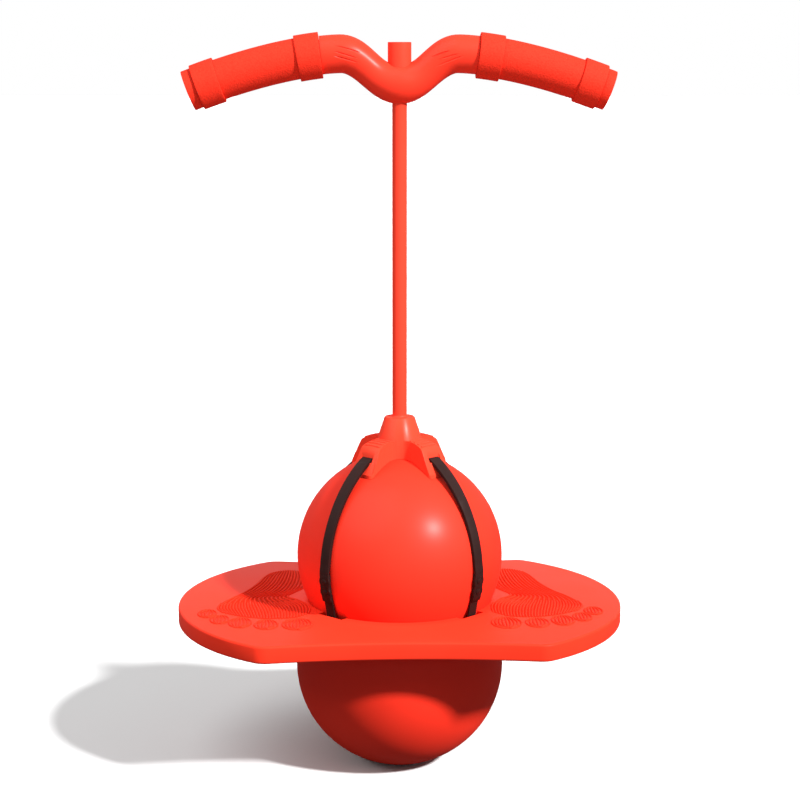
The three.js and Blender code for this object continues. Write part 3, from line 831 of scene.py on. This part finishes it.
shoulder = []
for azimuth in DIAGONALS.values():
    for reach in SHOULDER_RIDGES:
        across = spaced(-SHOULDER_RIDGE_HALF, SHOULDER_RIDGE_HALF, 8)
        points = [(*spun(reach, v, azimuth), bell_height(math.hypot(reach, v))) for v in across]
        shoulder.append(sweep("shoulder", points, lambda co: SHOULDER_RIDGE_RADIUS, half_sides=3))
crown = put_together("crown_cap", [crown, *shoulder])
dress(crown, lighter_plastic, "orange_plastic", "crown", smooth=35)
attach(crown, "deck")

# %% [markdown]
# ## Straps
# Four rubber straps leave the crown's forks, lie on the ball and button onto tails that hook under the deck. A
# strap is a flat band that comes down to the ball in a slack curve and thins where it lies over its tail. Its
# side line is laid out first, as points over the upper lobe, each with half the strap's thickness there.

# %% Lay out a strap's side line
STRAP_END_THICKNESS = 1.7 * MM
TAIL_THICKNESS = 1.6 * MM
TAIL_GAP = 0.1 * MM
TAIL_TOP = 91.0
LIFT_LENGTH = 9.5 * MM
STUD_INSET = 6.2 * MM
STUD_SPACING = 9.6 * MM
STRAP_END = 8.5 * MM
STRAP_HEAD = 28.2 * MM
SLACK_END = 82.0

strap_radius = UPPER_LOBE + FIT_GAP + STRAP_THICKNESS / 2
strap_inner = UPPER_LOBE + FIT_GAP + TAIL_THICKNESS + TAIL_GAP
strap_outer = strap_inner + STRAP_END_THICKNESS
button_radius = (strap_inner + strap_outer) / 2
lobe_degrees = math.degrees(1 / button_radius)
stud_angles = [TAIL_TOP + STUD_INSET * lobe_degrees, TAIL_TOP + (STUD_INSET + STUD_SPACING) * lobe_degrees]
strap_end_angle = stud_angles[1] + STRAP_END * lobe_degrees


def lobe_point(distance, pole_angle):
    """A point (x, z) over the upper lobe, at an angle from its pole."""
    angle = math.radians(pole_angle)
    return (distance * math.sin(angle), upper_centre + distance * math.cos(angle))


def lobe_run(distance, from_angle, to_angle, half, steps):
    """Points (x, z, half thickness) along the upper lobe."""
    return [(*lobe_point(distance, angle), half) for angle in spaced(from_angle, to_angle, steps)]


def strap_line(slack):
    """Points (x, z, half thickness) from the strap's head in the crown to its buttoned end."""
    half, end_half = STRAP_THICKNESS / 2, STRAP_END_THICKNESS / 2
    bend = Vector((FORK_START, slot_middle))
    rise = math.hypot(bend.x, bend.y - upper_centre) - strap_radius
    leave = math.degrees(math.atan2(bend.x, bend.y - upper_centre))
    hanging = []
    for t in spaced(0, 1, 24)[1:-1]:
        distance = strap_radius + rise * (1 - t) ** slack
        hanging.append((*lobe_point(distance, leave + (SLACK_END - leave) * t), half))
    start = Vector((FORK_START - STRAP_THICKNESS, slot_middle))
    bend_end = Vector(hanging[0][:2])
    bent = [(*start.lerp(bend, t).lerp(bend.lerp(bend_end, t), t), half) for t in spaced(0, 1, 6)[:-1]]
    lift_end = TAIL_TOP - FIT_GAP * lobe_degrees
    lift_start = lift_end - LIFT_LENGTH * lobe_degrees
    lift = []
    for t in spaced(0, 1, 6)[1:-1]:
        ease = t * t * (3 - 2 * t)
        distance = strap_radius + (button_radius - strap_radius) * ease
        angle = lift_start + (lift_end - lift_start) * t
        lift.append((*lobe_point(distance, angle), half + (end_half - half) * ease))
    lying = lobe_run(strap_radius, SLACK_END, lift_start, half, 3)
    buttoned = lobe_run(button_radius, lift_end, strap_end_angle, end_half, 8)
    return [(STRAP_HEAD, slot_middle, half), *bent, *hanging, *lying, *lift, *buttoned]


print("a strap ends", round(strap_end_angle, 1), "degrees from the ball's pole")

# %% [markdown]
# ### Bands and button holes
# Both sides of the line are drawn, filled and extruded across the strap's width. The band widens towards the
# crown, and small discs swell it round the two button holes. The front straps hang slack and the back ones
# are pulled tight, so one of each is modelled.

# %% Model a front and a back strap
SLACK = {"front": 2.0, "back": 18.0}
CROWN_END_WIDENING = 0.18
WIDENS_FROM, WIDENS_TO = 0.5 * UPPER_LOBE, 0.9 * UPPER_LOBE
EAR_RADIUS = STRAP_WIDTH / 2 + 0.9 * MM
EAR_INSET = 0.05 * MM
BUTTON_HOLE = 2.2 * MM
STRAP_ROUND = 0.45 * MM


def band(name, line, width):
    """A flat band: both sides of a line of (x, z, half thickness), filled, extruded across and stood up."""
    outer, inner = [], []
    for i, (x, z, half) in enumerate(line):
        before, after = line[max(i - 1, 0)], line[min(i + 1, len(line) - 1)]
        along = Vector((after[0] - before[0], after[1] - before[1])).normalized()
        outer.append((x - along.y * half, z + along.x * half))
        inner.append((x + along.y * half, z - along.x * half))
    piece = raise_plan(name, [*outer, *inner[::-1]], -width / 2, width / 2)
    set_down(piece, turned=(QUARTER_TURN, 0, 0))
    return piece


def lobe_disc(radius, pole_angle, inner, outer):
    """A short cylinder that stands on the upper lobe."""
    bpy.ops.object.select_all(action="DESELECT")
    x, z = lobe_point((inner + outer) / 2, pole_angle)
    bpy.ops.mesh.primitive_cylinder_add(vertices=40, radius=radius, depth=outer - inner)
    disc = bpy.context.object
    set_down(disc, (x, 0, z), (0, math.radians(pole_angle), 0))
    return disc


def model_strap(slack):
    """A strap over the X axis, wider at its crown end, with two button holes."""
    strap = band("strap", strap_line(slack), STRAP_WIDTH)
    for vertex in strap.data.vertices:
        share = (vertex.co.z - upper_centre - WIDENS_FROM) / (WIDENS_TO - WIDENS_FROM)
        vertex.co.y *= 1 + CROWN_END_WIDENING * min(max(share, 0), 1)
    for angle in stud_angles:
        combine(strap, lobe_disc(EAR_RADIUS, angle, strap_inner + EAR_INSET, strap_outer - EAR_INSET), "UNION")
    for angle in stud_angles:
        hole = lobe_disc(BUTTON_HOLE, angle, strap_inner - OVERCUT, strap_outer + OVERCUT)
        combine(strap, hole, "DIFFERENCE")
    soften(strap, STRAP_ROUND, angle=50, segments=2)
    return strap


straps = {side: model_strap(slack) for side, slack in SLACK.items()}
print("straps", {side: size_of(strap) for side, strap in straps.items()})

# %% [markdown]
# ### Tails
# A tail hooks under the deck, comes up through a notch and lies on the ball, where two studs button into the
# strap. It is a band like the strap, with a block for its hook and two turned studs with low round heads.

# %% Model a tail with its two studs
TAIL_WIDTH = 9.4 * MM
TAIL_ROUND = 0.4 * MM
HOOK = (12 * MM, 24 * MM, 3 * MM)
STUD_RADIUS = 1.9 * MM
STUD_HEAD_MM = [(1.9, 0.1), (2.7, 0.1), (2.6, 0.35), (2, 0.6), (1, 0.75), (0, 0.8)]

half_tail = TAIL_THICKNESS / 2
tail_radius = UPPER_LOBE + FIT_GAP + half_tail
hook_top = deck_bottom - FIT_GAP
hook_bottom = hook_top - HOOK[2]
drop_radius = math.sqrt(LOWER_LOBE ** 2 - (hook_bottom - lower_centre) ** 2) + 2 * FIT_GAP + half_tail
tail_line = [*lobe_run(tail_radius, TAIL_TOP, strap_end_angle, half_tail, 10),
             (drop_radius, rim_top, half_tail), (drop_radius, hook_bottom, half_tail)]
tail = band("tail", tail_line, TAIL_WIDTH)
hook = block(HOOK, (drop_radius - half_tail + HOOK[0] / 2, 0, (hook_top + hook_bottom) / 2))
combine(tail, hook, "UNION")
soften(tail, TAIL_ROUND, angle=50, segments=2)
stud_top = strap_outer - tail_radius
stud_head = [(r, stud_top + z) for r, z in in_mm(STUD_HEAD_MM)]
studs = []
for angle in stud_angles:
    stud = turn("stud", [(0, 0), (STUD_RADIUS, 0), *stud_head], steps=24)
    x, z = lobe_point(tail_radius, angle)
    set_down(stud, (x, 0, z), (0, math.radians(angle), 0))
    studs.append(stud)
tail = put_together("tail", [tail, *studs])
print("tail", size_of(tail))

# %% [markdown]
# ### Four diagonals
# All front straps are alike, and so are all back straps and all tails. So the models are copied and turned to
# the diagonals, where each copy stands for its solid, and the models themselves are removed.

# %% Turn the straps and tails to the four diagonals
for corner, azimuth in DIAGONALS.items():
    strap = straps[corner.split("_")[0]]
    for model, node in ((strap, f"{corner}_strap"), (tail, f"{corner}_strap_tail")):
        piece = copy_of(model, f"{node}_band")
        set_down(piece, turned=(0, 0, math.radians(azimuth)))
        dress(piece, strap_rubber, "strap_rubber", node)
        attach(piece, "deck")
for model in (*straps.values(), tail):
    bpy.data.objects.remove(model)

# %% [markdown]
# ## Stem
# The stem is one elastic moulding that bends near the crown and stretches when it is pulled. One tube would
# have to follow three joints, and a blend follows one, so it is made in three lengths whose seams lie where
# both neighbours follow the same body. Each length has rows of faces every few millimetres along it.

# %% Turn the three lengths of stem
STEM_RADIUS = 6.3 * MM
STEM_IN_BAR = 6 * MM
ROOT_DEPTH = 2 * MM
ROOT_RADIUS = STEM_RADIUS + 0.4 * MM
FLARE = 1.8 * MM
FLARE_SINK = 0.1 * MM
ROW_GAP = 0.2 * MM

joint_at = {joint["name"]: joint.get("pos_m") for joint in frame["joints"]}
neck_pivot = joint_at["stem_bend_fore_aft"][2]
shaft_pivot = joint_at["stem_bend_sideways"][2]
neck_middle = (neck_pivot + shaft_pivot) / 2
shaft_start = shaft_pivot + (shaft_pivot - neck_middle)
shaft_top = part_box("stem_shaft")[1].z
root_low = hub_top - ROOT_DEPTH


def stem_length(name, low, high, rows, root=()):
    """A length of stem with rows of faces, and a flared root where it leaves the crown."""
    plain = [(STEM_RADIUS, z) for z in spaced(low, high, rows) if not root or z > root[-1][1] + ROW_GAP]
    return turn(name, [(0, low), *root, *plain, (0, high)], steps=40)


flare = [(STEM_RADIUS + FLARE - r, hub_top - FLARE_SINK + z) for r, z in arc(0, FLARE, FLARE, -90, 0, 4)]
stem_root = stem_length("stem_root", root_low, neck_middle, 10, [(ROOT_RADIUS, root_low), *flare])
stem_bend = stem_length("stem_bend", neck_middle, shaft_start, 12)
stem_rod = stem_length("stem_rod", shaft_start, shaft_top + STEM_IN_BAR, 60)
dress(stem_root, elastic_rubber, "stem_rubber")
dress(stem_bend, elastic_rubber, "stem_rubber", "stem_neck")
dress(stem_rod, elastic_rubber, "stem_rubber", "stem_shaft")
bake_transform(stem_root)
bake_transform(stem_bend)
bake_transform(stem_rod)
frame["nodes"]["stem_foot"].data.materials.clear()
frame["nodes"]["stem_foot"].data.materials.append(elastic_rubber)

# %% [markdown]
# ## Handlebar
# The bar is a blow-moulded tube bent like a gull's wings: it dips to the stem, rises to two shoulders and
# droops to the ends. It thins on the slopes and swells on the shoulders, so it is swept along a line with a
# radius at each point. A counterbore from above makes room for the stem's head.

# %% Sweep the handlebar
BAR_DIP = 26.9 * MM
BAR_SHOULDER = 50 * MM
BAR_DROOP = 31 * MM
BAR_DROOP_POWER = 1.6
BAR_END = 178.7 * MM
BARE_END = 66.4 * MM
BAR_CORE = 12.5 * MM
BAR_SLOPE = 24 * MM
BAR_THIN, BAR_THICK, BAR_SADDLE = 14.2 * MM, 16.2 * MM, 16.9 * MM
BAR_HALF_SIDES = 22
SADDLE_RISE = 1.7 * MM
GRIP_END = BAR_END - 7.4 * MM
CORE_STEP = 0.1 * MM
SEAT_RISE = 13.75 * MM
STEM_HEAD_RADIUS = 10 * MM
BORE_GAP = 0.05 * MM
BORE_LENGTH = 60 * MM

bar_middle = joint_at["handlebar_twist"][2]


def fade(share):
    """Falls from 1 to 0 along half a cosine wave."""
    return (1 + math.cos(math.pi * min(share, 1))) / 2


def bar_height(x):
    """Height of the bar's centre line."""
    out = abs(x)
    shoulder_z = bar_middle + BAR_DIP
    if out < BAR_SHOULDER:
        return shoulder_z - BAR_DIP * fade(out / BAR_SHOULDER) + SADDLE_RISE * fade(out / BAR_SLOPE)
    return shoulder_z - BAR_DROOP * ((out - BAR_SHOULDER) / (BAR_END - BAR_SHOULDER)) ** BAR_DROOP_POWER


def bar_radius(x):
    """Radius of the bar, which is a plain core inside the grips."""
    out = abs(x)
    if out > BARE_END:
        return BAR_CORE
    if out < BAR_SLOPE:
        return BAR_THIN + (BAR_SADDLE - BAR_THIN) * fade(out / BAR_SLOPE)
    share = (out - BAR_SLOPE) / (BAR_SHOULDER - BAR_SLOPE)
    return BAR_THICK - (BAR_THICK - BAR_THIN) * fade(share)


def bar_line(from_x, to_x, step):
    """Points of the centre line between two places along the bar."""
    count = math.ceil(abs(to_x - from_x) / step)
    return [(x, 0, bar_height(x)) for x in spaced(from_x, to_x, count)]


core_start = BARE_END + CORE_STEP
core_line = [*bar_line(-GRIP_END, -core_start, 6 * MM), *bar_line(-BARE_END, BARE_END, 2 * MM),
             *bar_line(core_start, GRIP_END, 6 * MM)]
bar = sweep("gull_bar", core_line, lambda co: bar_radius(co.x), BAR_HALF_SIDES)
seat_z = bar_middle + SEAT_RISE
bore_radius, bore_top = STEM_HEAD_RADIUS + BORE_GAP, seat_z + BORE_LENGTH
bore = turn("bore", [(0, seat_z), (bore_radius, seat_z), (bore_radius, bore_top), (0, bore_top)], steps=64)
combine(bar, bore, "DIFFERENCE")
print("bar", size_of(bar))

# %% [markdown]
# ### Grip lines
# Three shallow lines are moulded into each shoulder of the bar. They look straight from the front and taper at
# their ends. A tapered tube is laid on the bar's round front face, point by point, and cut out of it.

# %% Engrave the grip lines
GRIP_LINES_MM = [((-54.4, 33.7), (-33.9, 28.1)), ((-55.6, 29.0), (-35.6, 23.0)), ((-56.1, 25.4), (-34.0, 19.1)),
                 ((27.0, 24.3), (41.4, 29.4)), ((33.1, 22.2), (49.5, 27.0)), ((30.2, 16.3), (53.5, 25.4))]
GROOVE_RADIUS = 1 * MM
GROOVE_TAPER = 0.4
GROOVE_LIFT = 0.2 * MM
GROOVE_SPARE = 0.1 * MM


def engraved_line(start, end):
    """A tapered tube on the bar's front face, between two points in mm from the bar's middle."""
    points = []
    for t in spaced(0, 1, 16):
        x, up = in_mm([[start[k] + (end[k] - start[k]) * t for k in (0, 1)]])[0]
        z = bar_middle + up
        tilt = math.atan((bar_height(x + MM) - bar_height(x - MM)) / (2 * MM))
        off = (z - bar_height(x)) * math.cos(tilt)
        points.append((x, -math.sqrt(bar_radius(x) ** 2 - off ** 2) - GROOVE_LIFT, z))
    middle = (points[0][0] + points[-1][0]) / 2
    half = abs(points[-1][0] - points[0][0]) / 2 + GROOVE_SPARE
    return sweep("engraved", points, lambda co: GROOVE_RADIUS * max(
        GROOVE_TAPER, 1 - ((co.x - middle) / half) ** 4), half_sides=4)


for start, end in GRIP_LINES_MM:
    combine(bar, engraved_line(start, end), "DIFFERENCE")
dress(bar, polished_plastic, "orange_plastic", "handlebar", smooth=35)
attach(bar, "handlebar")

# %% [markdown]
# ### Stem's head
# The stem ends in a thick plug that sits in the bar's counterbore, so that the bar can't slip off. It is
# turned in one piece with the short shank below it, and its upper edge is rounded.

# %% Turn the stem's head
HEAD_ROUND = 0.6 * MM

head_low, head_top = seat_z + FIT_GAP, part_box("stem_head")[1].z
head = turn("stem_plug", [(0, bar_middle), (STEM_RADIUS, bar_middle), (STEM_RADIUS, head_low),
                          (STEM_HEAD_RADIUS, head_low),
                          *arc(STEM_HEAD_RADIUS - HEAD_ROUND, head_top - HEAD_ROUND, HEAD_ROUND, 0, 90, 4),
                          (0, head_top)], steps=64)
dress(head, elastic_rubber, "stem_rubber", "stem_head")
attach(head, "stem_head")

# %% [markdown]
# ## Grips
# Each grip is a foam sleeve pushed over the bar's end, with a thicker foam band at each end of it and a plug
# that closes the tube. They follow the bar's droop, so each is an open tube along the same line, thickened
# inwards and rounded at its rims.

# %% Make the grips, collars and end plugs
GRIP = (17.3 * MM, 4.4 * MM, 0.8 * MM)
COLLAR = (19.5 * MM, 1.9 * MM, 0.5 * MM)
COLLAR_WIDTH = 20 * MM
PLUG_ROUND = 1.2 * MM
GRIP_START = BARE_END + FIT_GAP


def sleeve(name, from_x, to_x, radius, wall, rim_round):
    """An open tube along the bar, thickened inwards, with rounded rims."""
    line = bar_line(from_x, to_x, 3 * MM)
    piece = sweep(name, line, lambda co: radius, BAR_HALF_SIDES, capped=False)
    apply_modifier(piece, "SOLIDIFY", thickness=wall, offset=-1)
    soften(piece, rim_round, angle=50, segments=3)
    return piece


def collar_run(x):
    """The distance along X that a collar covers where the bar slopes."""
    return COLLAR_WIDTH / math.hypot(1, (bar_height(x + MM) - bar_height(x)) / MM)


PADS = [("foam_grip", "grip", GRIP_START, GRIP_END, GRIP),
        ("inner_foam_collar", "inner_collar", GRIP_START, GRIP_START + collar_run(GRIP_START), COLLAR),
        ("outer_foam_collar", "outer_collar", GRIP_END - collar_run(GRIP_END), GRIP_END, COLLAR)]
for hand, side in (("left", -1), ("right", 1)):
    for name, node, from_x, to_x, sizes in PADS:
        pad = sleeve(f"{hand}_{name}", side * from_x, side * to_x, *sizes)
        dress(pad, grip_foam, "grip_foam", f"{hand}_{node}")
        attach(pad, "handlebar")
    plug_line = bar_line(side * (GRIP_END + FIT_GAP), side * BAR_END, 2 * MM)
    plug = sweep(f"{hand}_foam_plug", plug_line, lambda co: GRIP[0], BAR_HALF_SIDES)
    soften(plug, PLUG_ROUND, angle=50, segments=3)
    dress(plug, grip_foam, "grip_foam", f"{hand}_end_plug")
    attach(plug, "handlebar")

# %% [markdown]
# ## Floor
# The picture is a studio cut-out: white all round, with little light from below. A white floor would throw
# light up under the deck, so the floor is pale to the camera, and dark to light that bounces off it onto the
# object. The kind of ray chooses between the two.

# %% Lay the floor
FLOOR_SIZE = 60


def show_by_ray(tree, output, kinds, shown, otherwise):
    """Ends a graph in one shader for rays of these kinds, and in another for the rest."""
    path = add_node(tree, "LightPath")
    seen = 0.0
    for kind in kinds:
        sockets = {0: seen, 1: path.outputs[f"Is {kind} Ray"]}
        seen = add_node(tree, "Math", sockets, operation="MAXIMUM").outputs[0]
    mixed = add_node(tree, "MixShader", {0: seen, 1: otherwise.outputs[0], 2: shown.outputs[0]})
    tree.links.new(mixed.outputs[0], output.inputs["Surface"])


bpy.ops.object.select_all(action="DESELECT")
bpy.ops.mesh.primitive_plane_add(size=FLOOR_SIZE)
floor = bpy.context.object
floor.name = "studio_floor"
paint, tree, output, place = new_finish("studio floor, matt white paint")
pale = add_node(tree, "BsdfDiffuse", {"Color": linear("f4f4f4")})
dim = add_node(tree, "BsdfDiffuse", {"Color": linear("5e5e5e")})
show_by_ray(tree, output, ("Camera", "Transmission"), pale, dim)
floor.data.materials.append(paint)
print("floor", floor.name)

# %% [markdown]
# ## Lamps
# One key light shines from the upper right in front, and a soft fill from the upper left. A white card stands
# in front, below the handlebar, and throws a little light up to the underside of the bar and the grips. It is
# an area lamp that neither the camera nor a highlight shows.

# %% Place the lamps
CARD_PLACE = (0, -260 * MM, 450 * MM)
CARD_TILT = math.radians(125)
CARD_WIDTH, CARD_HEIGHT = 520 * MM, 200 * MM
CARD_ENERGY = 0.32


def far_light(name, towards, strength, softness_degrees):
    """A distant lamp in a direction, with soft edges to its shadows."""
    bpy.ops.object.light_add(type="SUN")
    lamp = bpy.context.object
    lamp.name = name
    lamp.rotation_euler = Vector(towards).to_track_quat("Z", "Y").to_euler()
    lamp.data.energy = strength
    lamp.data.angle = math.radians(softness_degrees)
    return lamp


key = far_light("key_light", towards=(0.581, -0.552, 0.598), strength=5.8, softness_degrees=5)
fill = far_light("fill_light", towards=(-0.5, -0.28, 0.82), strength=1.7, softness_degrees=60)
bpy.ops.object.light_add(type="AREA", location=CARD_PLACE, rotation=(CARD_TILT, 0, 0))
card = bpy.context.object
card.name = "card_under_the_bar"
card.data.shape = "RECTANGLE"
card.data.size, card.data.size_y = CARD_WIDTH, CARD_HEIGHT
card.data.energy = CARD_ENERGY
card.visible_camera = False
card.visible_glossy = False
print("lamps", key.data.energy, fill.data.energy, card.data.energy)

# %% [markdown]
# ## Background
# The background is white to the camera and in reflections, but as a source of light it is dim, because the
# lamps do the lighting. The Standard view keeps the colours as they were picked.

# %% Set the background
SKY_STRENGTH = 0.25
BACKDROP_STRENGTH = 1.0

world = bpy.data.worlds.new("studio")
bpy.context.scene.world = world
world.use_nodes = True
tree = world.node_tree
tree.nodes.clear()
output = add_node(tree, "OutputWorld")
sky = add_node(tree, "Background", {"Color": linear("ffffff"), "Strength": SKY_STRENGTH})
backdrop = add_node(tree, "Background", {"Color": linear("ffffff"), "Strength": BACKDROP_STRENGTH})
show_by_ray(tree, output, ("Camera", "Glossy", "Transmission"), backdrop, sky)
bpy.context.scene.view_settings.view_transform = "Standard"
print("background", world.name)
